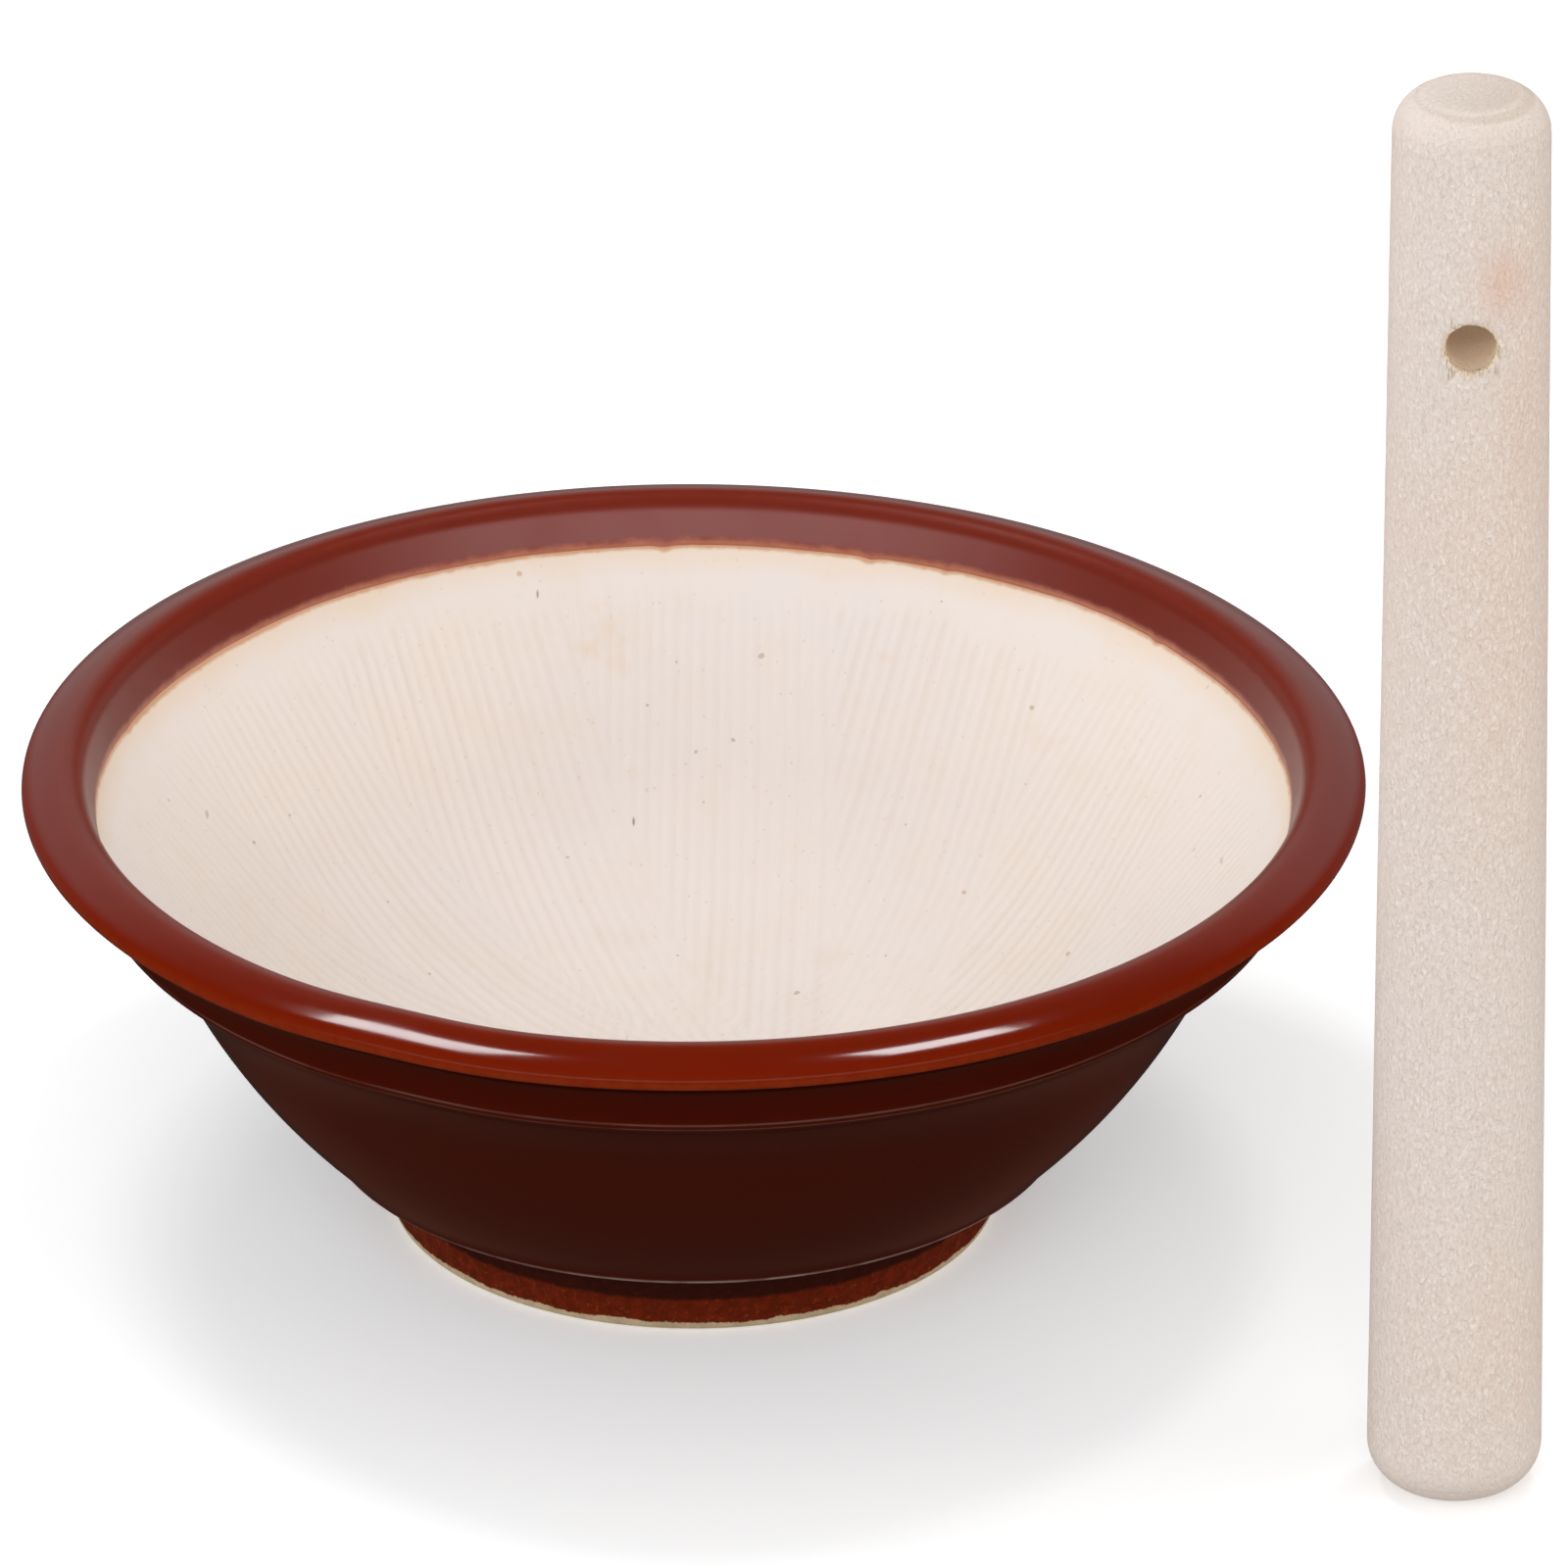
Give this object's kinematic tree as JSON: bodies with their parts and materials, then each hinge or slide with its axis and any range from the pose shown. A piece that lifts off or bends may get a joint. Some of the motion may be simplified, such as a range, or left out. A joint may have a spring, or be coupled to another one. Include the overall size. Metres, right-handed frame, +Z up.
{
  "type": "mortar and pestle",
  "caption": "Flared stoneware grinding bowl with a glazed lip and outside, a bare comb-scored inside and a foot ring, with a tapered wooden pestle that has a hanging hole.",
  "frame": {"origin": "on the floor, under the middle of the bowl's foot", "axes": "+Z up along the bowl's axis; -Y is the front, where the pestle stands to the right; the hanging hole runs along Y"},
  "size_m": [0.2414, 0.2194, 0.24],
  "materials": {
    "bare_stoneware": "unglazed, fine matte grain",
    "brown_glaze": "clear glossy red-brown glaze",
    "pestle_wood": "bare sanded pale wood"
  },
  "bodies": {
    "mortar": {"mortar_bowl": "bare_stoneware", "mortar_glaze": "brown_glaze"},
    "pestle": {"pestle": "pestle_wood"}
  },
  "joints": [
    {"name": "pestle_lift", "type": "slide", "parent": "mortar", "child": "pestle", "axis": [0, 0, 1], "range_m": [0, 0.15]}
  ]
}
